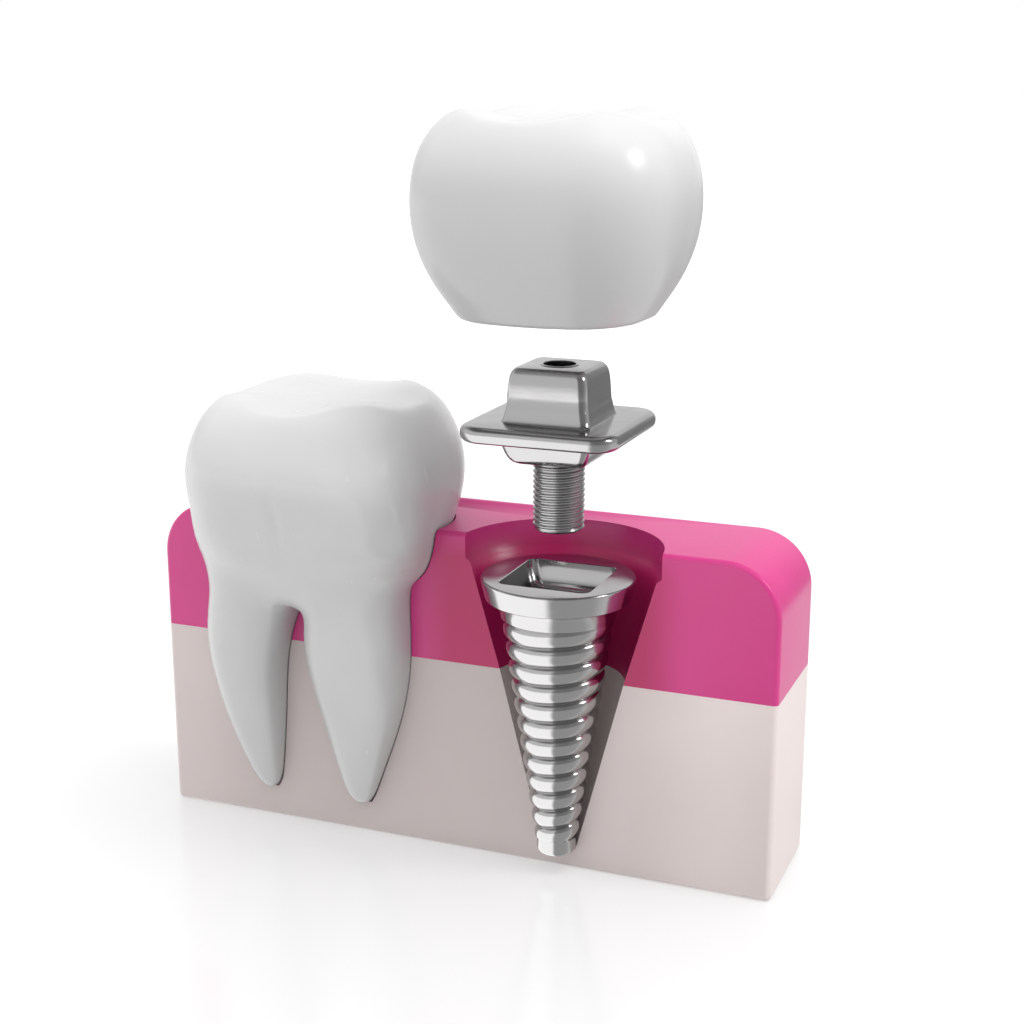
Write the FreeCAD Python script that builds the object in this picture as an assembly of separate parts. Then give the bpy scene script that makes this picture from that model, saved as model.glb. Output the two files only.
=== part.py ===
import FreeCAD, Part
import math
import os

from FreeCAD import Vector

# Dental implant shown in a cut-open piece of jaw, about four times life size.
# Millimetres. +Z is up, +X runs along the jaw, -Y is the cut-open front.
# The origin is the centre of the bone block's bottom face.

# Piece of jaw
block_length = 100.0
block_depth = 20.0
bone_height = 30.4
gum_height = 20.45
gum_shoulder = 8.4
block_edge_round = 0.8

# Implant line: the axis stands just in front of the cut face
implant_x = 17.4
implant_in_front = 1.3

# Implant fixture, from its tip up
fixture_stand = 3.2
nose_height = 2.6
nose_radius = 2.95
nose_round = 0.9
thread_height = 34.6
thread_pitch = 2.95
thread_depth = 0.75
crest_radius_low = 3.25
crest_radius_high = 8.35
neck_height = 2.8
neck_radius_low = 8.4
neck_radius_high = 8.9
flange_height = 3.26
flange_radius_low = 10.6
flange_radius = 11.26
flange_edge_break = 0.3

# Abutment, as it hangs above the fixture
abutment_lift = 20.74
seat_gap = 0.2
plate_side = 23.2
plate_thickness = 2.4
plate_corner = 3.8
plate_edge_round = 1.05
spigot_height = 3.8
spigot_side = 13.3
spigot_end_side = 8.2
spigot_corner = 1.1
plinth_height = 7.5
plinth_top_side = 9.9
plinth_side = 12.1
plinth_skirt_side = 13.3
plinth_skirt_height = 2.1
plinth_corner = 1.3
plinth_top_round = 1.0
access_hole_radius = 2.35
access_lip_width = 0.4
access_lip_height = 0.15
lid_thickness = 1.6

# Abutment screw
screw_thread_radius = 3.7
screw_shank_radius = 3.3
screw_reach = 10.1
screw_end_chamfer = 0.45
screw_head_radius = 4.4
screw_head_height = 4.2
screw_seat_height = 5.0
driver_flats = 4.0
driver_depth = 3.2

# Clearances between pieces
socket_clearance = 0.2
running_clearance = 0.08
face_clearance = 0.05
tooth_clearance = 0.2
crown_socket_clearance = 0.3
pocket_clearance = 0.4

# Crown and natural tooth
crown_lift = 14.2
crown_height = 28.2
crown_half_width = 19.1
crown_half_depth = 19.6
cusp_height = 1.5
outline_points = 14
loft_degree = 3
front_squareness = 2.9
back_squareness = 2.15
tooth_back_squareness = 2.6
tooth_x = -21.5
tooth_behind_face = 2.5
tooth_half_width = 19.8
tooth_half_depth = 20.6
tooth_top = 70.6
root_tip = 5.3

# Recess cut in the gum and the bone around the fixture
bone_recess_mouth = 9.8
bone_recess_floor = 2.9
gum_recess_low = 11.2
gum_recess_step = 12.4
gum_step_above_bone = 9.4

# Levels and places worked out from the sizes above
front_y = -block_depth / 2
gum_top = bone_height + gum_height
implant_y = front_y - implant_in_front
tooth_y = front_y + tooth_behind_face
thread_foot = fixture_stand + nose_height
neck_foot = thread_foot + thread_height
thread_taper = (crest_radius_high - crest_radius_low) / thread_height
flange_foot = neck_foot + neck_height
flange_top = flange_foot + flange_height
plate_bottom = flange_top + seat_gap + abutment_lift
plate_top = plate_bottom + plate_thickness
spigot_end = plate_bottom - spigot_height
plinth_top = plate_top + plinth_height
screw_end = spigot_end - screw_reach
screw_seat = spigot_end + screw_seat_height
crown_base = plate_top + seat_gap + crown_lift
bore_radius = screw_thread_radius + running_clearance
bore_end = screw_end - abutment_lift - seat_gap - 2 * socket_clearance
plate_corner_reach = math.sqrt(2) * (plate_side / 2 - plate_corner) + plate_corner
gum_seat_radius = plate_corner_reach + pocket_clearance


def revolve(points, x=0.0, y=0.0):
    """Solid of a closed (radius, height) outline turned about a vertical axis."""
    outline = [Vector(radius, 0, height) for radius, height in points]
    face = Part.Face(Part.makePolygon(outline + outline[:1]))
    solid = face.revolve(Vector(0, 0, 0), Vector(0, 0, 1), 360)
    return solid.translated(Vector(x, y, 0))


def rounded_square(side, corner, height, x=implant_x, y=implant_y):
    """Closed outline of four straight sides and four corner arcs."""
    flat = side / 2 - corner
    edges = []
    for quarter in range(4):
        turn = math.radians(90 * quarter)
        ax, ay = math.cos(turn), math.sin(turn)

        def place(u, v):
            return Vector(x + u * ax - v * ay, y + u * ay + v * ax, height)

        diagonal = flat + corner * math.sqrt(0.5)
        edges.append(Part.LineSegment(place(side / 2, -flat), place(side / 2, flat)).toShape())
        arc = Part.Arc(place(side / 2, flat), place(diagonal, diagonal), place(flat, side / 2))
        edges.append(arc.toShape())
    return Part.Wire(edges)


def square_loft(levels, straight=False):
    """Solid through rounded squares given as (height, side, corner)."""
    wires = [rounded_square(side, corner, height) for height, side, corner in levels]
    return Part.makeLoft(wires, True, straight)


def tooth_outline(height, x, y, half_width, half_depth, back=tooth_back_squareness):
    """Closed smooth outline, squarer in front than at the back."""
    points = []
    for step in range(outline_points):
        turn = 2 * math.pi * step / outline_points
        power = front_squareness if math.sin(turn) < 0 else back
        reach = abs(math.cos(turn) / half_width) ** power + abs(math.sin(turn) / half_depth) ** power
        radius = reach ** (-1 / power)
        points.append(Vector(x + radius * math.cos(turn), y + radius * math.sin(turn), height))
    curve = Part.BSplineCurve()
    even = list(range(outline_points + 1))
    curve.interpolate(Points=points, PeriodicFlag=True, Parameters=even)
    return Part.Wire(curve.toShape())


def tooth_loft(levels, back=tooth_back_squareness):
    """Solid through tooth outlines given as (height, x, y, half width, half depth)."""
    outlines = [tooth_outline(*level, back) for level in levels]
    return Part.makeLoft(outlines, True, False, False, loft_degree)


def below_chewing_surface(x, y, top, half_width, half_depth, depth):
    """Solid under a surface of four low cusps with a cross of grooves between."""
    reach = 1.1
    count = 8
    rows = []
    for i in range(count + 1):
        u = reach * (2 * i / count - 1)
        row = []
        for j in range(count + 1):
            v = reach * (2 * j / count - 1)
            rise = math.sin(math.pi * u) ** 2 * math.sin(math.pi * v) ** 2
            row.append(Vector(x + u * half_width, y + v * half_depth, top - cusp_height * (1 - rise)))
        rows.append(row)
    surface = Part.BSplineSurface()
    surface.interpolate(rows)
    return surface.toShape().extrude(Vector(0, 0, -depth))


def jaw_block():
    """Whole piece of jaw: straight sides, rounded gum shoulders, softened edges."""
    half = block_length / 2
    bend = gum_shoulder * (1 - math.sqrt(0.5))
    corners = [
        Vector(-half, front_y, 0),
        Vector(half, front_y, 0),
        Vector(half, front_y, gum_top - gum_shoulder),
        Vector(half - gum_shoulder, front_y, gum_top),
        Vector(-half + gum_shoulder, front_y, gum_top),
        Vector(-half, front_y, gum_top - gum_shoulder),
    ]
    right_bend = Vector(half - bend, front_y, gum_top - bend)
    left_bend = Vector(-half + bend, front_y, gum_top - bend)
    outline = Part.Wire([
        Part.LineSegment(corners[0], corners[1]).toShape(),
        Part.LineSegment(corners[1], corners[2]).toShape(),
        Part.Arc(corners[2], right_bend, corners[3]).toShape(),
        Part.LineSegment(corners[3], corners[4]).toShape(),
        Part.Arc(corners[4], left_bend, corners[5]).toShape(),
        Part.LineSegment(corners[5], corners[0]).toShape(),
    ])
    block = Part.Face(outline).extrude(Vector(0, block_depth, 0))
    return block.makeFillet(block_edge_round, block.Edges)


def implant_recess():
    """Space around the fixture: a cone in the bone, a step, a funnel and a round seat in the gum."""
    step_height = bone_height + gum_step_above_bone
    step_slope = 0.4 * (gum_recess_step - gum_recess_low)
    over = block_edge_round
    return revolve([
        (0, fixture_stand),
        (bone_recess_floor, fixture_stand),
        (bone_recess_mouth, bone_height),
        (gum_recess_low, bone_height),
        (gum_recess_low, step_height),
        (gum_recess_step, step_height + step_slope),
        (gum_seat_radius - 2 * pocket_clearance, flange_top),
        (gum_seat_radius, flange_top + seat_gap + pocket_clearance),
        (gum_seat_radius, gum_top + over),
        (0, gum_top + over),
    ], implant_x, implant_y)


def tooth_levels(shares, grow):
    """Outlines from shares of the tooth's height and half sizes, grown for a socket."""
    height = tooth_top - root_tip
    levels = []
    for up, along, back, wide, deep in shares:
        levels.append((
            root_tip + up * height - (0 if levels else grow),
            tooth_x + along * tooth_half_width,
            tooth_y + back * tooth_half_depth,
            wide * tooth_half_width + grow,
            deep * tooth_half_depth + grow,
        ))
    return levels


def tooth_body(grow=0.0):
    """Natural molar: crown and trunk in one sweep, and two tapering roots."""
    crown_part = tooth_loft(tooth_levels([
        (0.510, -0.086, -0.073, 0.780, 0.440),
        (0.570, -0.068, -0.044, 0.862, 0.585),
        (0.639, -0.030, -0.053, 0.960, 0.710),
        (0.700, -0.015, -0.049, 0.980, 0.790),
        (0.753, -0.010, 0.000, 1.000, 0.890),
        (0.815, 0.000, 0.000, 1.000, 0.955),
        (0.876, 0.000, 0.000, 0.965, 0.935),
        (0.937, 0.000, 0.000, 0.880, 0.860),
        (0.986, 0.000, 0.000, 0.730, 0.710),
        (1.015, 0.000, 0.000, 0.450, 0.440),
    ], grow))
    left_root = tooth_loft(tooth_levels([
        (0.001, -0.520, -0.146, 0.045, 0.044),
        (0.029, -0.525, -0.141, 0.091, 0.112),
        (0.103, -0.561, -0.131, 0.157, 0.204),
        (0.217, -0.606, -0.107, 0.232, 0.320),
        (0.348, -0.636, -0.073, 0.298, 0.417),
        (0.470, -0.576, -0.044, 0.354, 0.505),
        (0.593, -0.500, -0.044, 0.395, 0.570),
    ], grow))
    right_root = tooth_loft(tooth_levels([
        (0.000, 0.308, -0.146, 0.056, 0.053),
        (0.029, 0.308, -0.141, 0.106, 0.121),
        (0.095, 0.318, -0.131, 0.177, 0.199),
        (0.217, 0.338, -0.107, 0.298, 0.320),
        (0.355, 0.323, -0.078, 0.404, 0.417),
        (0.470, 0.323, -0.044, 0.409, 0.505),
        (0.593, 0.355, -0.044, 0.410, 0.570),
    ], grow))
    return crown_part.fuse([left_root, right_root]).removeSplitter()


def bone_block():
    """Bone part of the jaw with the implant's conical recess and the root sockets."""
    slab = Part.makeBox(block_length, block_depth, bone_height, Vector(-block_length / 2, front_y, 0))
    bone = jaw_block().common(slab)
    return bone.cut([implant_recess(), tooth_body(tooth_clearance)])


def gum_cap():
    """Gum over the bone, open in front of the fixture and around the tooth."""
    slab = Part.makeBox(block_length, block_depth, 2 * gum_height, Vector(-block_length / 2, front_y, bone_height))
    gum = jaw_block().common(slab)
    return gum.cut([implant_recess(), tooth_body(tooth_clearance)])


def molar_tooth():
    """Natural tooth with cusps on its chewing surface."""
    surface = below_chewing_surface(
        tooth_x, tooth_y, tooth_top, tooth_half_width, tooth_half_depth, tooth_top)
    return tooth_body().common(surface)


def core_radius(height):
    """Radius at the bottom of the thread, which widens evenly from nose to neck."""
    return crest_radius_low - thread_depth + thread_taper * (height - thread_foot)


def thread_ridge():
    """Rounded ridge wound up the tapered core of the fixture."""
    start = thread_foot + thread_pitch / 4
    root = core_radius(start)
    taper = math.degrees(math.atan(thread_taper))
    path = Part.makeHelix(thread_pitch, neck_foot - start, root, taper)
    rounding = (
        (-0.40, -0.47), (0.56, -0.30), (1.00, -0.13), (1.00, 0.13), (0.56, 0.30), (-0.40, 0.47),
    )
    points = [Vector(root + out * thread_depth, 0, along * thread_pitch) for out, along in rounding]
    section = Part.makePolygon(points + points[:1])
    ridge = Part.Wire(path.Edges).makePipeShell([section], True, True)
    return ridge.translated(Vector(0, 0, start))


def implant_fixture():
    """Tapered screw body with a flange, a square socket and a blind bore."""
    low, high = thread_foot - nose_height / 2, neck_foot + neck_height / 2
    core = Part.makeCone(core_radius(low), core_radius(high), high - low, Vector(0, 0, low))
    nose_bend = nose_round * (1 - math.sqrt(0.5))
    nose = revolve([
        (0, fixture_stand),
        (nose_radius - nose_round, fixture_stand),
        (nose_radius - nose_bend, fixture_stand + nose_bend),
        (nose_radius, fixture_stand + nose_round),
        (nose_radius, thread_foot),
        (0, thread_foot),
    ])
    head = revolve([
        (0, neck_foot),
        (neck_radius_low, neck_foot),
        (neck_radius_high, flange_foot),
        (flange_radius_low, flange_foot),
        (flange_radius, flange_top - flange_edge_break),
        (flange_radius - flange_edge_break, flange_top),
        (0, flange_top),
    ])
    body = core.fuse(thread_ridge()).fuse(head).fuse(nose)
    body = body.translated(Vector(implant_x, implant_y, 0))
    wide = 2 * socket_clearance
    socket = spigot(flange_top, wide, socket_clearance)
    bore = revolve([
        (0, bore_end - bore_radius / 2),
        (bore_radius, bore_end),
        (bore_radius, flange_top),
        (0, flange_top),
    ], implant_x, implant_y)
    return body.cut([socket, bore])


def spigot(top, wider=0.0, deeper=0.0):
    """Square bowl-shaped spigot that hangs down from the height given."""
    bottom = top - spigot_height - deeper
    height = top - bottom
    levels = []
    for share, bulge in ((0.0, 0.0), (0.08, 0.5), (0.4, 0.85), (1.0, 1.0)):
        side = spigot_end_side + (spigot_side - spigot_end_side) * bulge + wider
        levels.append((bottom + share * height, side, spigot_corner + wider / 2))
    return square_loft(levels)


def plinth(wider=0.0, higher=0.0):
    """Square post above the plate: a flared skirt, tapered sides and a soft top."""
    skirt = plate_top + plinth_skirt_height
    top = plinth_top + higher
    corner = plinth_corner + wider / 2
    flare = plinth_skirt_side - plinth_side
    taper = plinth_side - plinth_top_side
    return square_loft([
        (plate_top, plinth_skirt_side + wider, corner),
        (plate_top + 0.5 * plinth_skirt_height, plinth_side + 0.5 * flare + wider, corner),
        (skirt, plinth_side + 0.125 * flare + wider, corner),
        (skirt + 0.05 * plinth_skirt_height, plinth_side + wider, corner),
        (0.5 * (skirt + top), plinth_side - 0.115 * taper + wider, corner),
        (top - plinth_top_round, plinth_side - 0.41 * taper + wider, corner),
        (top - 0.3 * plinth_top_round, plinth_side - 0.7 * taper + wider, corner),
        (top, plinth_top_side + wider, corner),
    ], True)


def abutment():
    """Square plate with a post above and a spigot below, bored for its screw."""
    outline = Part.Face(rounded_square(plate_side, plate_corner, plate_bottom))
    plate = outline.extrude(Vector(0, 0, plate_thickness))
    rims = [edge for edge in plate.Edges if edge.BoundBox.ZLength < 1e-6]
    plate = plate.makeFillet(plate_edge_round, rims)
    body = plate.fuse([plinth(), spigot(plate_bottom)]).removeSplitter()
    lid = plinth_top - lid_thickness
    lip = revolve([
        (access_hole_radius, plinth_top - access_lip_height),
        (access_hole_radius + access_lip_width, plinth_top - access_lip_height),
        (access_hole_radius + access_lip_width, plinth_top + access_lip_height),
        (access_hole_radius, plinth_top + access_lip_height),
    ], implant_x, implant_y)
    chamber_radius = screw_head_radius + running_clearance
    channel = revolve([
        (0, spigot_end),
        (bore_radius, spigot_end),
        (bore_radius, screw_seat),
        (chamber_radius, screw_seat),
        (chamber_radius, lid),
        (access_hole_radius, lid),
        (access_hole_radius, plinth_top),
        (0, plinth_top),
    ], implant_x, implant_y)
    return body.cut(channel).fuse(lip).removeSplitter()


def abutment_screw():
    """Screw held inside the abutment, with its threaded end standing out below."""
    under_head = screw_seat + face_clearance
    head_top = under_head + screw_head_height
    screw = revolve([
        (0, screw_end),
        (screw_thread_radius - screw_end_chamfer, screw_end),
        (screw_thread_radius, screw_end + screw_end_chamfer),
        (screw_thread_radius, spigot_end + screw_end_chamfer),
        (screw_shank_radius, spigot_end + 2 * screw_end_chamfer),
        (screw_shank_radius, under_head),
        (screw_head_radius, under_head),
        (screw_head_radius, head_top),
        (0, head_top),
    ], implant_x, implant_y)
    corner = driver_flats / math.sqrt(3)
    points = []
    for step in range(7):
        turn = math.radians(60 * step)
        points.append(Vector(
            implant_x + corner * math.cos(turn), implant_y + corner * math.sin(turn), head_top))
    driver = Part.Face(Part.makePolygon(points)).extrude(Vector(0, 0, -driver_depth))
    return screw.cut(driver)


def crown():
    """Artificial crown with a square socket that fits down over the plinth."""
    wide, deep = crown_half_width, crown_half_depth
    shares = (
        (0.0, 0.683), (0.1, 0.78), (0.25, 0.905), (0.43, 0.985),
        (0.6, 1.0), (0.76, 0.963), (0.9, 0.86), (1.03, 0.5),
    )
    levels = []
    for height, width in shares:
        levels.append((
            crown_base + height * crown_height, implant_x, implant_y, wide * width, deep * width))
    body = tooth_loft(levels, back_squareness)
    top = crown_base + crown_height
    body = body.common(below_chewing_surface(implant_x, implant_y, top, wide, deep, 2 * crown_height))
    socket = plinth(2 * crown_socket_clearance, crown_socket_clearance)
    socket = socket.translated(Vector(0, 0, crown_base - plate_top))
    return body.cut(socket)


PIECES = {
    "bone_block": bone_block,
    "gum_cap": gum_cap,
    "molar_tooth": molar_tooth,
    "implant_fixture": implant_fixture,
    "abutment": abutment,
    "abutment_screw": abutment_screw,
    "crown": crown,
}


def single_solid(shape, name):
    """The one solid of a shape, or an error that names the piece."""
    if len(shape.Solids) != 1:
        raise ValueError(name + " is " + str(len(shape.Solids)) + " solids")
    return shape.Solids[0]


os.makedirs("parts", exist_ok=True)
for name, build in PIECES.items():
    solid = single_solid(build(), name)
    solid.exportStep("parts/" + name + ".step")
    print(name, "valid" if solid.isValid() else "NOT VALID", round(solid.Volume, 1), "mm3")
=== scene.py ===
import bmesh
import bpy
import math
from mathutils import Matrix, Vector


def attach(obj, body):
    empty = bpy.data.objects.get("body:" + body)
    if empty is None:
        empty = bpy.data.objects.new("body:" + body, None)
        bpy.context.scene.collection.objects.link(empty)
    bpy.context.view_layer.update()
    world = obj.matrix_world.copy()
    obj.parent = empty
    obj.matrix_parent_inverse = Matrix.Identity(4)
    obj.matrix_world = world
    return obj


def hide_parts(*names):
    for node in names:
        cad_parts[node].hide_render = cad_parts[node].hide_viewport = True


# Dental implant demonstration model: a piece of jaw with a natural molar and an
# implant, and the parts that go on the implant hanging above it.
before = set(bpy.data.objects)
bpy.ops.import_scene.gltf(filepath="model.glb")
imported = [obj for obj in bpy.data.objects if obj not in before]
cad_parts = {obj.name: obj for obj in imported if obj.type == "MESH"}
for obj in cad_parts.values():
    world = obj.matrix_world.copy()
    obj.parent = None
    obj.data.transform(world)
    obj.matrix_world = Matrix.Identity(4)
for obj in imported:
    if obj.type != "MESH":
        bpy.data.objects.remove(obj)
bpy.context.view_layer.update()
scene = bpy.context.scene
scene.view_settings.view_transform = "Standard"


# Camera: a little above the model and to its right, looking down at the cut
# face, with the field of view of a short portrait lens.
lens = bpy.data.cameras.new("studio_camera")
lens.lens = 60.89
lens.sensor_width = 36
lens.clip_start = 0.01
camera = bpy.data.objects.new("studio_camera", lens)
camera.location = (0.10029, -0.23601, 0.1196)
camera.rotation_euler = (math.radians(75.103), 0, math.radians(21.847))
scene.collection.objects.link(camera)
scene.camera = camera


# Studio floor and backdrop: a white acrylic sheet with a soft painted glow, dimmer
# round the model in a painted pool of shade, a duller sheet under it and a white
# card at the right for the metal to mirror, and a white paper dome behind.
def linear(hex_colour):
    """Turns an sRGB hex colour to the linear values that a shader takes."""
    parts = [int(hex_colour[i:i + 2], 16) / 255 for i in (1, 3, 5)]
    return [c / 12.92 if c <= 0.04045 else ((c + 0.055) / 1.055) ** 2.4 for c in parts] + [1.0]


def add(tree, kind, inputs=None, **settings):
    """Adds a node with its settings; an input is a value or another node's socket."""
    node = tree.nodes.new(kind)
    for name, value in settings.items():
        setattr(node, name, value)
    for name, value in (inputs or {}).items():
        if isinstance(value, bpy.types.NodeSocket):
            tree.links.new(value, node.inputs[name])
        else:
            node.inputs[name].default_value = value
    return node


def new_material(name):
    """An empty material with its output node."""
    material = bpy.data.materials.new(name)
    material.use_nodes = True
    material.node_tree.nodes.clear()
    return material, material.node_tree


def stage_piece(shape, name, material):
    """Makes a finished shape part of the studio, not of the model."""
    mesh = bpy.data.meshes.new(name)
    shape.to_mesh(mesh)
    shape.free()
    mesh.materials.append(material)
    piece = bpy.data.objects.new(name, mesh)
    scene.collection.objects.link(piece)
    return piece


def seen_by(piece, *rays):
    """Shows a studio piece only to the kinds of ray named."""
    for ray in ("camera", "diffuse", "glossy", "transmission", "volume_scatter", "shadow"):
        setattr(piece, "visible_" + ray, ray in rays)


def ramp(tree, factor, stops, smooth="LINEAR"):
    """A colour ramp of grey stops given as (place, brightness)."""
    node = add(tree, "ShaderNodeValToRGB", {"Fac": factor})
    node.color_ramp.interpolation = smooth
    elements = node.color_ramp.elements
    while len(elements) < len(stops):
        elements.new(0.5)
    for element, (place, grey) in zip(elements, stops):
        element.position = place
        element.color = (grey, grey, grey, 1)
    return node.outputs["Color"]


# Brightness round the room, as a share of a full turn that starts at -X and
# passes the front, as bright things mirror it: a wide white wall at the left, a
# grey front, and paler walls at the right and the back.
ROUND_THE_ROOM = (
    (0.0, 1.1), (0.248, 1.1), (0.276, 0.36), (0.36, 0.33), (0.46, 0.42), (0.54, 0.75),
    (0.62, 0.75), (0.65, 0.40), (0.70, 0.40), (0.715, 1.0), (0.86, 1.0), (0.92, 0.7), (1.0, 1.1))
ON_THE_FLOOR = (
    (0.0, 1.8), (0.248, 1.8), (0.276, 0.52), (0.36, 0.52), (0.46, 0.55), (0.52, 0.85),
    (0.60, 0.85), (0.63, 0.30), (0.74, 0.30), (0.78, 1.0), (0.90, 1.0), (1.0, 1.8))
MM = 0.001
AXIS = Vector((17.4 * MM, -11.3 * MM, 0))  # the implant's axis, where it meets the floor

# Acrylic: a soft, faint mirror with a painted glow that is dimmer near the model, a painted grey pool of
# shade round it.
acrylic, tree = new_material("white acrylic floor, painted glow dimmer round the model")
spot = add(tree, "ShaderNodeTexCoord")
reach = add(tree, "ShaderNodeVectorMath", {"Vector": spot.outputs["Object"]}, operation="LENGTH")
# Painted shade: the glow is weakest near the model and grows away from it.
glow = add(tree, "ShaderNodeMapRange", {
    "Value": reach.outputs["Value"], "From Min": 0.08, "From Max": 0.9, "To Min": 0.39, "To Max": 1.0},
    interpolation_type="SMOOTHSTEP")
sheen = add(tree, "ShaderNodeBsdfPrincipled", {
    "Base Color": linear("#A6A6A6"), "Roughness": 0.16, "IOR": 1.6,
    "Emission Color": linear("#FFFFFF"), "Emission Strength": glow.outputs[0]})
add(tree, "ShaderNodeOutputMaterial", {"Surface": sheen.outputs[0]})
sheet = bmesh.new()
bmesh.ops.create_circle(sheet, cap_ends=True, segments=64, radius=4.0)
seen_by(stage_piece(sheet, "floor", acrylic), "camera", "diffuse", "shadow")

# Card: broad grey and white fields that the metal's undersides pick up.
card, tree = new_material("grey and white card")
spot = add(tree, "ShaderNodeTexCoord")
middle = add(tree, "ShaderNodeMapping", {"Vector": spot.outputs["Object"], "Location": -AXIS})
turn = add(tree, "ShaderNodeTexGradient", {"Vector": middle.outputs[0]}, gradient_type="RADIAL")
glow = add(tree, "ShaderNodeEmission", {"Color": ramp(tree, turn.outputs["Fac"], ON_THE_FLOOR)})
add(tree, "ShaderNodeOutputMaterial", {"Surface": glow.outputs[0]})
sheet = bmesh.new()
bmesh.ops.create_circle(
    sheet, cap_ends=True, segments=64, radius=4.0, matrix=Matrix.Translation((0, 0, -0.2 * MM)))
seen_by(stage_piece(sheet, "mirrored_floor", card), "glossy")

# White card: a bright edge on the metal's right side.
card, tree = new_material("white card")
glow = add(tree, "ShaderNodeEmission", {"Color": linear("#FFFFFF"), "Strength": 0.9})
add(tree, "ShaderNodeOutputMaterial", {"Surface": glow.outputs[0]})
sheet = bmesh.new()
bmesh.ops.create_grid(sheet, size=0.08, matrix=Matrix.Translation((0.135, 0.10, 0.0002)))
seen_by(stage_piece(sheet, "side_card", card), "glossy")

# Paper: an even white behind everything.
paper, tree = new_material("white paper dome")
glow = add(tree, "ShaderNodeEmission", {"Color": linear("#FFFFFF"), "Strength": 1.0})
add(tree, "ShaderNodeOutputMaterial", {"Surface": glow.outputs[0]})
dome = bmesh.new()
bmesh.ops.create_uvsphere(dome, u_segments=32, v_segments=16, radius=3.9)
seen_by(stage_piece(dome, "backdrop", paper), "camera")


# Studio light: pale walls and ceiling that light the model, the brighter room
# that its bright pieces mirror, a wide soft light high at the right, and a
# smaller one lower down that gives the highlights.
WALLS = (
    (0.0, 1.0), (0.25, 1.0), (0.275, 0.24), (0.36, 0.30), (0.44, 0.95), (0.60, 1.0),
    (0.75, 1.0), (1.0, 0.9))
dome_radius = 3.8

# Paper: soft light from all round and above, with one darker stretch in front
# that gives the rounded forms their shade.
paper, tree = new_material("white and grey paper dome")
spot = add(tree, "ShaderNodeTexCoord")
turn = add(tree, "ShaderNodeTexGradient", {"Vector": spot.outputs["Object"]}, gradient_type="RADIAL")
height = add(tree, "ShaderNodeSeparateXYZ", {"Vector": spot.outputs["Object"]})
share = add(tree, "ShaderNodeMath", {0: height.outputs["Z"], 1: dome_radius}, operation="DIVIDE")
walls = add(tree, "ShaderNodeMix", {
    "Factor": ramp(tree, share.outputs[0], ((0.40, 0.0), (0.75, 1.0)), "EASE"),
    "A": ramp(tree, turn.outputs["Fac"], WALLS), "B": (1.75, 1.75, 1.75, 1)}, data_type="RGBA")
glow = add(tree, "ShaderNodeEmission", {"Color": walls.outputs["Result"]})
add(tree, "ShaderNodeOutputMaterial", {"Surface": glow.outputs[0]})
dome = bmesh.new()
bmesh.ops.create_uvsphere(dome, u_segments=32, v_segments=16, radius=dome_radius)
seen_by(stage_piece(dome, "soft_walls", paper), "diffuse")

# Room: what bright metal and glaze mirror; it lights nothing by itself.
room = bpy.data.worlds.new("studio room")
scene.world = room
room.cycles_visibility.diffuse = False
room.use_nodes = True
tree = room.node_tree
tree.nodes.clear()
aim = add(tree, "ShaderNodeTexCoord")
turn = add(tree, "ShaderNodeTexGradient", {"Vector": aim.outputs["Generated"]}, gradient_type="RADIAL")
height = add(tree, "ShaderNodeSeparateXYZ", {"Vector": aim.outputs["Generated"]})
ceiling = add(tree, "ShaderNodeMix", {
    "Factor": ramp(tree, height.outputs["Z"], ((0.45, 0.0), (0.80, 1.0)), "EASE"),
    "A": ramp(tree, turn.outputs["Fac"], ROUND_THE_ROOM), "B": linear("#7A7A7A")}, data_type="RGBA")
air = add(tree, "ShaderNodeBackground", {"Color": ceiling.outputs["Result"], "Strength": 0.85})
add(tree, "ShaderNodeOutputWorld", {"Surface": air.outputs[0]})


MODEL_MIDDLE = Vector((0, -0.01, 0.06))
LIGHT_DISTANCE = 0.7


def panel(name, width, tall, power, turn, rise):
    """Hangs a soft light turn degrees round from +X and rise degrees up, facing the model."""
    lamp = bpy.data.lights.new(name, "AREA")
    lamp.shape = "RECTANGLE"
    lamp.size = width
    lamp.size_y = tall
    lamp.energy = power
    light = bpy.data.objects.new(name, lamp)
    turn, rise = math.radians(turn), math.radians(rise)
    out = Vector((math.cos(turn) * math.cos(rise), math.sin(turn) * math.cos(rise), math.sin(rise)))
    light.location = MODEL_MIDDLE + LIGHT_DISTANCE * out
    light.rotation_euler = out.to_track_quat("Z", "Y").to_euler()
    scene.collection.objects.link(light)
    return light


panel("key_panel", 0.35, 0.35, 1.7, -15, 64).visible_glossy = False
panel("side_panel", 0.16, 0.16, 0.9, 5, 35)


# Bone: a flat slab of cream moulded plastic, hollowed for the implant and the
# roots. Its satin skin has a faint grain from the mould, and painted shade makes
# its tone a little deeper in the middle.
def joined_copy(node, crease):
    """A copy of a CAD node's shape with its triangles joined, smooth up to the crease angle."""
    shape = bmesh.new()
    shape.from_mesh(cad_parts[node].data)
    bmesh.ops.remove_doubles(shape, verts=shape.verts, dist=2e-6)
    bmesh.ops.dissolve_degenerate(shape, edges=shape.edges, dist=1e-6)
    for face in shape.faces:
        face.smooth = True
    for edge in shape.edges:
        edge.smooth = edge.calc_face_angle(0) < math.radians(crease)
    return shape


def finished(shape, name, material, body, slot, *nodes):
    """Makes a shape a piece of the model, in place of the CAD nodes named."""
    mesh = bpy.data.meshes.new(name)
    shape.to_mesh(mesh)
    shape.free()
    mesh.materials.clear()
    mesh.materials.append(material)
    piece = bpy.data.objects.new(name, mesh)
    scene.collection.objects.link(piece)
    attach(piece, body)
    if nodes:
        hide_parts(*nodes)
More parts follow.
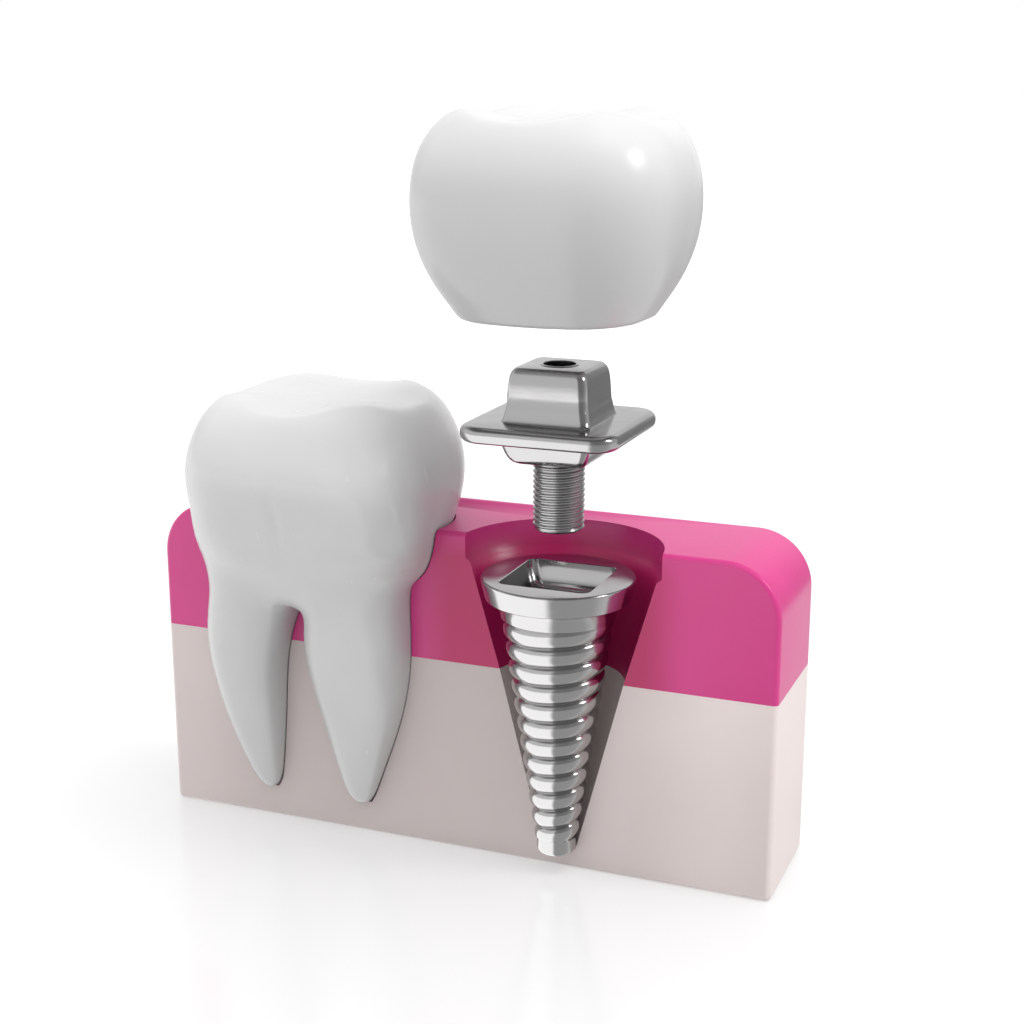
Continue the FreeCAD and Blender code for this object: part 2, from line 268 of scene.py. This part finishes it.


# Plastic: a soft satin sheen, with painted shade that deepens its tone in the
# middle of the block. A real mould grain of about 0.1 mm wouldn't show, so it is
# drawn at 0.6 mm.
cream_plastic, tree = new_material("cream moulded plastic, satin")
spot = add(tree, "ShaderNodeTexCoord")
cloud = add(tree, "ShaderNodeTexNoise", {
    "Vector": spot.outputs["Object"], "Scale": 1 / (14 * MM), "Detail": 3.0, "Roughness": 0.55})
tint = add(tree, "ShaderNodeMix", {
    "Factor": cloud.outputs[0], "A": linear("#D9CCCA"), "B": linear("#E0D4D2")}, data_type="RGBA")
# Painted shade and light: darker across the middle of the block, round the tooth and the implant, and
# lighter towards its right end.
place = add(tree, "ShaderNodeSeparateXYZ", {"Vector": spot.outputs["Object"]})
share = add(tree, "ShaderNodeMapRange", {"Value": place.outputs["X"], "From Min": -0.05, "From Max": 0.05})
tint = add(tree, "ShaderNodeMix", {
    "Factor": 1.0, "A": tint.outputs["Result"], "B": ramp(tree, share.outputs[0], (
        (0.0, 0.86), (0.20, 0.73), (0.56, 0.71), (0.78, 0.87), (0.92, 1.0), (1.0, 0.95)), "EASE")},
    data_type="RGBA", blend_type="MULTIPLY")
grain = add(tree, "ShaderNodeTexNoise", {
    "Vector": spot.outputs["Object"], "Scale": 1 / (0.6 * MM), "Detail": 2.0})
bump = add(tree, "ShaderNodeBump", {
    "Height": grain.outputs[0], "Strength": 0.12, "Distance": 0.1 * MM})
gloss = add(tree, "ShaderNodeMapRange", {"Value": cloud.outputs[0], "To Min": 0.40, "To Max": 0.50})
skin = add(tree, "ShaderNodeBsdfPrincipled", {
    "Base Color": tint.outputs["Result"], "Roughness": gloss.outputs[0],
    "Normal": bump.outputs[0], "IOR": 1.46})
add(tree, "ShaderNodeOutputMaterial", {"Surface": skin.outputs[0]})
finished(joined_copy("bone_block", 30), "bone", cream_plastic, "jaw", "bone", "bone_block")


# Gum: a cap of glossy pink soft plastic moulded over the bone, with a faint
# orange-peel skin. Its colour varies in patches, and painted shade deepens it
# round the implant, where its recess widens evenly upwards.
BONE_TOP = 30.4 * MM
CUT_FACE = -10.0 * MM
recess_foot, recess_spread = 9.8 * MM, 0.2883  # radius at the bone, and its growth with height
seat_foot, seat_radius = 46.4 * MM, 14.42 * MM  # where the wider seat of the plate begins

# Plastic: a broad gloss, and painted shade, a deep crimson, in the recess and
# beside it, most on the side of the tooth. The orange-peel is drawn at 1.5 mm,
# coarser than a real one, so that it shows.
pink_plastic, tree = new_material("pink moulded plastic, glossy")
spot = add(tree, "ShaderNodeTexCoord")
cloud = add(tree, "ShaderNodeTexNoise", {
    "Vector": spot.outputs["Object"], "Scale": 1 / (10 * MM), "Detail": 3.0, "Roughness": 0.5})
tint = add(tree, "ShaderNodeMix", {
    "Factor": cloud.outputs[0], "A": linear("#BF3078"), "B": linear("#C83A82")}, data_type="RGBA")
# Painted shade: the colour turns a deep crimson round the implant's recess, most below the gum's top.
reach = add(tree, "ShaderNodeMapping", {
    "Vector": spot.outputs["Object"], "Location": (-15.0 * MM, 11.3 * MM, 0), "Scale": (1, 1, 0)})
away = add(tree, "ShaderNodeVectorMath", {"Vector": reach.outputs[0]}, operation="LENGTH")
edge = add(tree, "ShaderNodeMapRange", {
    "Value": away.outputs["Value"], "From Min": 0.0145, "From Max": 0.022, "To Min": 0.9, "To Max": 0.0},
    interpolation_type="SMOOTHSTEP")
place = add(tree, "ShaderNodeSeparateXYZ", {"Vector": spot.outputs["Object"]})
below = add(tree, "ShaderNodeMapRange", {
    "Value": place.outputs["Z"], "From Min": 0.0470, "From Max": 0.0508, "To Min": 1.0, "To Max": 0.1})
depth = add(tree, "ShaderNodeMath", {0: edge.outputs[0], 1: below.outputs[0]}, operation="MULTIPLY")
tint = add(tree, "ShaderNodeMix", {
    "Factor": depth.outputs[0], "A": tint.outputs["Result"], "B": linear("#A81452")}, data_type="RGBA")
peel = add(tree, "ShaderNodeTexNoise", {
    "Vector": spot.outputs["Object"], "Scale": 1 / (1.5 * MM), "Detail": 2.0})
bump = add(tree, "ShaderNodeBump", {
    "Height": peel.outputs[0], "Strength": 0.10, "Distance": 0.2 * MM})
gloss = add(tree, "ShaderNodeMapRange", {"Value": cloud.outputs[0], "To Min": 0.26, "To Max": 0.36})
skin = add(tree, "ShaderNodeBsdfPrincipled", {
    "Base Color": tint.outputs["Result"], "Roughness": gloss.outputs[0],
    "Normal": bump.outputs[0], "IOR": 1.48})
add(tree, "ShaderNodeOutputMaterial", {"Surface": skin.outputs[0]})
cap = joined_copy("gum_cap", 180)
for vert in cap.verts:
    out = (vert.co - AXIS).xy
    if out.length > seat_radius or not BONE_TOP - 0.1 * MM < vert.co.z < seat_foot:
        continue
    radius = recess_foot + recess_spread * (vert.co.z - BONE_TOP)
    if vert.co.y < CUT_FACE + 0.01 * MM:
        vert.co.x = AXIS.x + math.copysign(math.sqrt(radius ** 2 - (CUT_FACE - AXIS.y) ** 2), out.x)
    else:
        vert.co.x, vert.co.y = AXIS.xy + out * (radius / out.length)
for edge in cap.edges:
    edge.smooth = edge.calc_face_angle(0) < math.radians(58)
finished(cap, "gum", pink_plastic, "jaw", "gum", "gum_cap")


# Natural molar: a glossy white resin casting, softly rounded all over, with a
# faint groove down its front where the two roots part. Sizes are in mm.
CAST_GRID = 0.6 * MM
BANDS = ((34, 50, 12), (36, 48, 24), (38, 46, 40))  # smoothed from, to, how often
middle = Vector((-21.5, -7.5, 0)) * MM
half_width, half_depth = 19.8 * MM, 20.6 * MM
cast_corner, square_corner = 2.9, 3.9
groove_at, groove_width, groove_depth = -20.9, 0.8, 0.3
swell, let_in = 0.1, 0.35  # out at the roots, and in where jaw and gum hide the tooth


def between(value, low, high):
    """Rises smoothly from 0 to 1 as the value goes from low to high."""
    share = min(max((value - low) / (high - low), 0), 1)
    return share * share * (3 - 2 * share)


def rounded_copy(node, grid, passes):
    """A copy of a CAD node's shape remade on an even grid and smoothed, for cast forms."""
    shape = joined_copy(node, 180)
    mesh = bpy.data.meshes.new("casting")
    shape.to_mesh(mesh)
    shape.free()
    blank = bpy.data.objects.new("casting", mesh)
    scene.collection.objects.link(blank)
    remake = blank.modifiers.new("remake", "REMESH")
    remake.mode = "VOXEL"
    remake.voxel_size = grid
    soften = blank.modifiers.new("soften", "SMOOTH")
    soften.factor = 0.5
    soften.iterations = passes
    cast = bpy.data.meshes.new_from_object(blank.evaluated_get(bpy.context.evaluated_depsgraph_get()))
    bpy.data.objects.remove(blank)
    shape = bmesh.new()
    shape.from_mesh(cast)
    bpy.data.meshes.remove(cast)
    for face in shape.faces:
        face.smooth = True
    return shape


def squareness(turn, power):
    """How far a rounded square of that power reaches in the direction of turn."""
    return (math.cos(turn) ** power + math.sin(turn) ** power) ** (-1 / power)


# Resin: a wet gloss, with painted light that makes it lighter in tone towards the
# chewing face. Its faint upright streaks are drawn 2.2 mm apart, coarser than
# real ones, so that they show.
enamel, tree = new_material("white cast resin, enamel gloss")
spot = add(tree, "ShaderNodeTexCoord")
cloud = add(tree, "ShaderNodeTexNoise", {
    "Vector": spot.outputs["Object"], "Scale": 1 / (9 * MM), "Detail": 2.0})
tint = add(tree, "ShaderNodeMix", {
    "Factor": cloud.outputs[0], "A": linear("#BABABA"), "B": linear("#C1C1C1")}, data_type="RGBA")
place = add(tree, "ShaderNodeSeparateXYZ", {"Vector": spot.outputs["Object"]})
# Painted light: lighter towards the chewing face, as if the top caught more light.
rise = add(tree, "ShaderNodeMapRange", {
    "Value": place.outputs["Z"], "From Min": 0.050, "From Max": 0.072, "To Min": 0.0, "To Max": 0.6},
    interpolation_type="SMOOTHSTEP")
tint = add(tree, "ShaderNodeMix", {
    "Factor": rise.outputs[0], "A": tint.outputs["Result"], "B": linear("#CDCDCD")}, data_type="RGBA")
streak = add(tree, "ShaderNodeMapping", {
    "Vector": spot.outputs["Object"], "Scale": (1, 1, 0.12)})
lines = add(tree, "ShaderNodeTexNoise", {
    "Vector": streak.outputs[0], "Scale": 1 / (2.2 * MM), "Detail": 2.0})
bump = add(tree, "ShaderNodeBump", {
    "Height": lines.outputs[0], "Strength": 0.018, "Distance": 0.3 * MM})
gloss = add(tree, "ShaderNodeMapRange", {"Value": lines.outputs[0], "To Min": 0.20, "To Max": 0.30})
glaze = add(tree, "ShaderNodeBsdfPrincipled", {
    "Base Color": tint.outputs["Result"], "Roughness": gloss.outputs[0],
    "Normal": bump.outputs[0], "IOR": 1.5})
add(tree, "ShaderNodeOutputMaterial", {"Surface": glaze.outputs[0]})
tooth = rounded_copy("molar_tooth", CAST_GRID, 10)
for low, high, passes in BANDS:
    band = [vert for vert in tooth.verts
            if low * MM < vert.co.z < high * MM and vert.co.y < CUT_FACE - 0.5 * MM]
    for _ in range(passes):
        bmesh.ops.smooth_vert(
            tooth, verts=band, factor=0.5, use_axis_x=True, use_axis_y=True, use_axis_z=True)
bmesh.ops.recalc_face_normals(tooth, faces=tooth.faces)
tooth.normal_update()
for vert in tooth.verts:
    along = (vert.co.x - middle.x) / half_width
    back = (vert.co.y - middle.y) / half_depth
    # hidden: behind the cut face and below the gum's top; root: below the trunk
    hidden = between(vert.co.y / MM, -9.9, -9.2) * (1 - between(vert.co.z / MM, 49, 51))
    root = 1 - between(vert.co.z / MM, 40, 48)
    vert.co += MM * vert.normal * (swell * root - let_in * hidden)
    if back >= 0:
        continue
    belly = between(vert.co.z / MM, 44, 50) * (1 - between(vert.co.z / MM, 60, 69))
    if along > 0:
        turn = math.atan2(-back, along)
        more = 1 + (squareness(turn, square_corner) / squareness(turn, cast_corner) - 1) * belly
        vert.co.x = middle.x + (vert.co.x - middle.x) * more
        vert.co.y = middle.y + (vert.co.y - middle.y) * more
    groove = math.exp(-((vert.co.x / MM - groove_at) / groove_width) ** 2)
    ends = between(vert.co.z / MM, 46, 54) * (1 - between(vert.co.z / MM, 58, 66))
    vert.co.y += groove_depth * MM * groove * ends
finished(tooth, "molar", enamel, "jaw", "enamel", "molar_tooth")


# Implant fixture: turned from titanium in one piece, a tapered root with a
# rounded right-hand thread, a smooth neck, a flange and a square bowl-shaped
# socket with a blind bore below, all polished bright. Sizes are in mm.
RING = 72
THREAD_FOOT, THREAD_TOP = 5.8, 40.4
TAPER = 0.1474  # growth of the root's radius with height


def round_ring(shape, radius, height):
    """A circle about the implant's axis, in mm, ready to be bridged."""
    made = bmesh.ops.create_circle(
        shape, cap_ends=False, segments=RING, radius=radius * MM,
        matrix=Matrix.Translation(AXIS + Vector((0, 0, height * MM))))
    return list({edge for vert in made["verts"] for edge in vert.link_edges})


def square_ring(shape, side, corner, height):
    """A rounded square about the implant's axis, in mm, ready to be bridged."""
    made = bmesh.ops.create_grid(
        shape, x_segments=1, y_segments=1, size=side / 2 * MM,
        matrix=Matrix.Translation(AXIS + Vector((0, 0, height * MM))))
    bend = bmesh.ops.bevel(
        shape, geom=made["verts"], affect="VERTICES", offset=corner * MM, segments=RING // 4 - 1,
        profile=0.5, material=-1)
    face = bend["verts"][0].link_faces[0]
    edges = list(face.edges)
    bmesh.ops.delete(shape, geom=[face], context="FACES_ONLY")
    return edges


def bridge(shape, rings):
    """Joins each ring to the next, at another height, with a band of faces."""
    for lower, upper in zip(rings, rings[1:]):
        bmesh.ops.bridge_loops(shape, edges=lower + upper)


def rounded_edge(radius, height, bend, quarter, steps=5):
    """(radius, height) points of a rounded outer edge; quarter 0 is its lower half, 1 its upper."""
    points = []
    for step in range(steps + 1):
        turn = math.radians(90 * (step / steps - 1 + quarter))
        points.append((radius - bend + bend * math.cos(turn), height + bend * math.sin(turn)))
    return points


def cut_loop(shape, height, keep_above):
    """Cuts the shape level at the height, in mm, and returns the open edge left there."""
    cut = bmesh.ops.bisect_plane(
        shape, geom=shape.verts[:] + shape.edges[:] + shape.faces[:], dist=1e-8,
        plane_co=(0, 0, height * MM), plane_no=(0, 0, 1),
        clear_inner=keep_above, clear_outer=not keep_above)
    return [part for part in cut["geom_cut"] if isinstance(part, bmesh.types.BMEdge)]


def wound_thread(shape, radius, pitch, depth, form, bottom, top, steps=72):
    """Winds a right-hand thread of the form given, as shares of pitch and depth, upwards."""
    points = [shape.verts.new(((radius + out * depth) * MM, 0, (bottom - pitch + along * pitch) * MM))
              for along, out in form]
    line = [shape.edges.new(pair) for pair in zip(points, points[1:])]
    turns = math.ceil((top - bottom) / pitch) + 2
    bmesh.ops.spin(
        shape, geom=points + line, axis=(0, 0, 1), cent=(0, 0, 0), angle=2 * math.pi * turns,
        steps=turns * steps, dvec=(0, 0, pitch * MM / steps), use_merge=False, use_duplicate=False)
    bmesh.ops.remove_doubles(shape, verts=shape.verts, dist=1e-7)


def polished(shape, crease=32):
    """Points the faces outwards and keeps only the true edges sharp."""
    bmesh.ops.recalc_face_normals(shape, faces=shape.faces)
    for face in shape.faces:
        face.smooth = True
    for edge in shape.edges:
        edge.smooth = edge.calc_face_angle(0) < math.radians(crease)
    return shape


def turned_metal(name, colour, low, high, grain):
    """Titanium turned on a lathe and polished: fine rings round the axis vary its gloss."""
    material, tree = new_material(name)
    spot = add(tree, "ShaderNodeTexCoord")
    rings = add(tree, "ShaderNodeMapping", {"Vector": spot.outputs["Object"], "Scale": (0.12, 0.12, 1)})
    marks = add(tree, "ShaderNodeTexNoise", {
        "Vector": rings.outputs[0], "Scale": 1 / grain, "Detail": 2.0})
    haze = add(tree, "ShaderNodeTexNoise", {
        "Vector": spot.outputs["Object"], "Scale": 1 / (4 * MM), "Detail": 2.0})
    both = add(tree, "ShaderNodeMath", {0: marks.outputs[0], 1: haze.outputs[0]}, operation="MULTIPLY")
    gloss = add(tree, "ShaderNodeMapRange", {
        "Value": both.outputs[0], "From Min": 0.1, "From Max": 0.4, "To Min": low, "To Max": high})
    bump = add(tree, "ShaderNodeBump", {
        "Height": marks.outputs[0], "Strength": 0.08, "Distance": 0.04 * MM})
    metal = add(tree, "ShaderNodeBsdfPrincipled", {
        "Base Color": linear(colour), "Metallic": 1.0, "Roughness": gloss.outputs[0],
        "Normal": bump.outputs[0]})
    add(tree, "ShaderNodeOutputMaterial", {"Surface": metal.outputs[0]})
    return material


root = bmesh.new()
round_form = [(step / 12, math.sin(math.pi * step / 12) ** 0.6) for step in range(13)]
wound_thread(root, radius=2.5, pitch=2.95, depth=0.75, form=round_form, bottom=THREAD_FOOT, top=THREAD_TOP)
for vert in root.verts:
    radius = math.hypot(vert.co.x, vert.co.y)
    wider = 1 + TAPER * (vert.co.z - THREAD_FOOT * MM) / radius
    vert.co.x *= wider
    vert.co.y *= wider
bmesh.ops.translate(root, verts=root.verts, vec=AXIS)
nose_end = cut_loop(root, THREAD_FOOT, keep_above=True)
neck_end = cut_loop(root, THREAD_TOP, keep_above=False)
# Rings from the nose up over the rim and down to the bore's end, each a circle of
# (radius, height) or a rounded square of (side, corner, height).
nose = [round_ring(root, r, z) for r, z in rounded_edge(2.95, 4.1, 0.9, 0) + [(2.95, 5.7)]]
bridge(root, nose + [nose_end])
bmesh.ops.edgeloop_fill(root, edges=nose[0])
neck = [(8.40, 40.5), (8.55, 41.2), (8.90, 43.0), (9.05, 43.18), (10.45, 43.2), (10.62, 43.34)]
rim = [(11.24, 46.0)] + rounded_edge(11.26, 46.16, 0.3, 1)
head = [round_ring(root, r, z) for r, z in neck + rim]
bowl = [square_ring(root, *level) for level in (
    (13.95, 1.45, 46.44), (13.72, 1.32, 46.36), (13.60, 1.3, 45.6), (13.2, 1.3, 44.9), (12.7, 1.3, 44.2),
    (12.1, 1.3, 43.5), (11.4, 1.3, 43.0), (10.4, 1.3, 42.7), (9.2, 1.3, 42.5), (8.6, 1.3, 42.46))]
bore = [round_ring(root, r, z) for r, z in ((3.98, 42.44), (3.78, 42.26), (3.78, 32.16))]
bridge(root, [neck_end] + head + bowl + bore)
bmesh.ops.edgeloop_fill(root, edges=bore[-1])
# Polish: near mirrors, with turning marks drawn 0.4 mm apart so that they show.
bright_titanium = turned_metal("turned titanium, polished bright", "#B9B8B8", 0.10, 0.20, 0.0004)
finished(polished(root), "fixture", bright_titanium, "jaw", "implant_metal", "implant_fixture")


# Abutment: milled from titanium, a square plate with a post above and a square
# bowl-shaped spigot below, its edges rounded over and polished. A hole through
# its middle holds the screw, reached through the raised lip on top.
plate_half, plate_corner, plate_bend = 11.6, 3.8, 1.05
block = bmesh.new()
# Outside, rounded squares of (side, corner, height) from the spigot's foot up;
# inside, circles of (radius, height) from the lip down.
spigot = [(8.2, 1.0, 63.6), (9.1, 1.1, 63.63), (10.0, 1.2, 63.74), (10.75, 1.2, 63.95), (11.4, 1.2, 64.3),
          (12.0, 1.2, 64.8), (12.5, 1.2, 65.4), (12.95, 1.15, 66.2), (13.3, 1.1, 67.38)]
edge = rounded_edge(plate_half, 68.45, plate_bend, 0) + rounded_edge(plate_half, 68.75, plate_bend, 1)
plate = [(2 * half, plate_corner - (plate_half - half), height) for half, height in edge]
post = [(13.3, 1.3, 69.82), (12.95, 1.3, 70.1), (12.6, 1.3, 70.8), (12.35, 1.3, 71.5), (12.25, 1.3, 71.85),
        (12.1, 1.3, 72.0), (11.95, 1.3, 73.5), (11.75, 1.3, 75.0), (11.5, 1.3, 75.9), (11.28, 1.3, 76.35),
        (10.95, 1.3, 76.75), (10.5, 1.25, 77.05), (10.0, 1.15, 77.24), (9.5, 1.1, 77.3)]
outside = [square_ring(block, *level) for level in spigot + plate + post]
inside = [round_ring(block, *level) for level in (
    (2.80, 77.31), (2.72, 77.41), (2.60, 77.45), (2.45, 77.43), (2.35, 77.33), (2.35, 75.71),
    (4.48, 75.69), (4.48, 68.61), (3.78, 68.59), (3.78, 63.61))]
bridge(block, outside + inside + outside[:1])
# Polish: a little duller than the fixture, with marks drawn 0.5 mm apart.
milled_titanium = turned_metal("milled titanium, polished", "#B2B1B1", 0.12, 0.24, 0.0005)
finished(polished(block), "abutment_part", milled_titanium, "abutment_body", "abutment_metal", "abutment")


# Abutment screw: turned from titanium with a fine cut thread, held captive in
# the abutment by its head, which has a hexagon socket for the driver.
TIP, RUNOUT = 53.5, 64.2
tip_radius = 3.25  # from here the tip's bevel widens at 45 degrees
socket_depth = 3.2
stem = bmesh.new()
sharp_form = [(0.0, 0.0), (0.12, 0.0), (0.42, 1.0), (0.58, 1.0), (0.88, 0.0), (1.0, 0.0)]
wound_thread(stem, radius=3.46, pitch=0.77, depth=0.24, form=sharp_form, bottom=TIP, top=RUNOUT, steps=60)
bmesh.ops.translate(stem, verts=stem.verts, vec=AXIS)
cut_loop(stem, TIP, keep_above=True)
runout = cut_loop(stem, RUNOUT, keep_above=False)
for vert in stem.verts:
    out = Vector((vert.co.x, vert.co.y, 0)) - AXIS
    limit = tip_radius * MM + (vert.co.z - TIP * MM)
    if out.length > limit:
        vert.co.x, vert.co.y = (AXIS + out * (limit / out.length)).xy
low = [vert for vert in stem.verts if vert.co.z < (TIP + 0.01) * MM]
bmesh.ops.remove_doubles(stem, verts=low, dist=1e-6)
bmesh.ops.holes_fill(stem, edges=[
    edge for edge in stem.edges if edge.is_boundary and edge.verts[0].co.z < (TIP + 0.01) * MM])
shank = [round_ring(stem, r, z) for r, z in (
    (3.3, 64.4), (3.3, 68.65), (4.2, 68.66), (4.4, 68.85), (4.4, 72.6), (4.15, 72.85))]
hexagon = bmesh.ops.create_circle(
    stem, cap_ends=False, segments=6, radius=2.309 * MM,
    matrix=Matrix.Translation(AXIS + Vector((0, 0, 72.84 * MM))))
hexagon = list({edge for vert in hexagon["verts"] for edge in vert.link_edges})
bridge(stem, [runout] + shank + [hexagon])
down = bmesh.ops.extrude_edge_only(stem, edges=hexagon)["geom"]
deeper = [part for part in down if isinstance(part, bmesh.types.BMVert)]
bmesh.ops.translate(stem, verts=deeper, vec=(0, 0, -socket_depth * MM))
bottom = [part for part in down if isinstance(part, bmesh.types.BMEdge) and part.is_boundary]
bmesh.ops.edgeloop_fill(stem, edges=bottom)
# As turned: grey and softer, with tool marks drawn 0.3 mm apart.
screw_titanium = turned_metal("turned titanium, as machined", "#A3A2A2", 0.24, 0.34, 0.0003)
finished(polished(stem), "screw", screw_titanium, "screw_body", "screw_metal", "abutment_screw")


# Crown: white glazed porcelain over its socket, with four low cusps. Painted
# light makes its tone lighter at the cusps and deeper towards the neck, and its
# smooth glaze is a shade duller in clouds of 7 mm.
porcelain, tree = new_material("white porcelain, glazed")
spot = add(tree, "ShaderNodeTexCoord")
cloud = add(tree, "ShaderNodeTexNoise", {
    "Vector": spot.outputs["Object"], "Scale": 1 / (7 * MM), "Detail": 2.0})
place = add(tree, "ShaderNodeSeparateXYZ", {"Vector": spot.outputs["Object"]})
# Painted light: lighter towards the cusps, deeper towards the neck.
rise = add(tree, "ShaderNodeMapRange", {
    "Value": place.outputs["Z"], "From Min": 0.098, "From Max": 0.110}, interpolation_type="SMOOTHSTEP")
tint = add(tree, "ShaderNodeMix", {
    "Factor": rise.outputs[0], "A": linear("#B4B4B4"), "B": linear("#C5C5C5")}, data_type="RGBA")
gloss = add(tree, "ShaderNodeMapRange", {"Value": cloud.outputs[0], "To Min": 0.20, "To Max": 0.28})
bump = add(tree, "ShaderNodeBump", {"Height": cloud.outputs[0], "Strength": 0.03, "Distance": 0.3 * MM})
glaze = add(tree, "ShaderNodeBsdfPrincipled", {
    "Base Color": tint.outputs["Result"], "Roughness": gloss.outputs[0],
    "Normal": bump.outputs[0], "IOR": 1.5})
add(tree, "ShaderNodeOutputMaterial", {"Surface": glaze.outputs[0]})
crown = rounded_copy("crown", CAST_GRID, 6)
finished(crown, "crown_cap", porcelain, "crown_body", "porcelain", "crown")
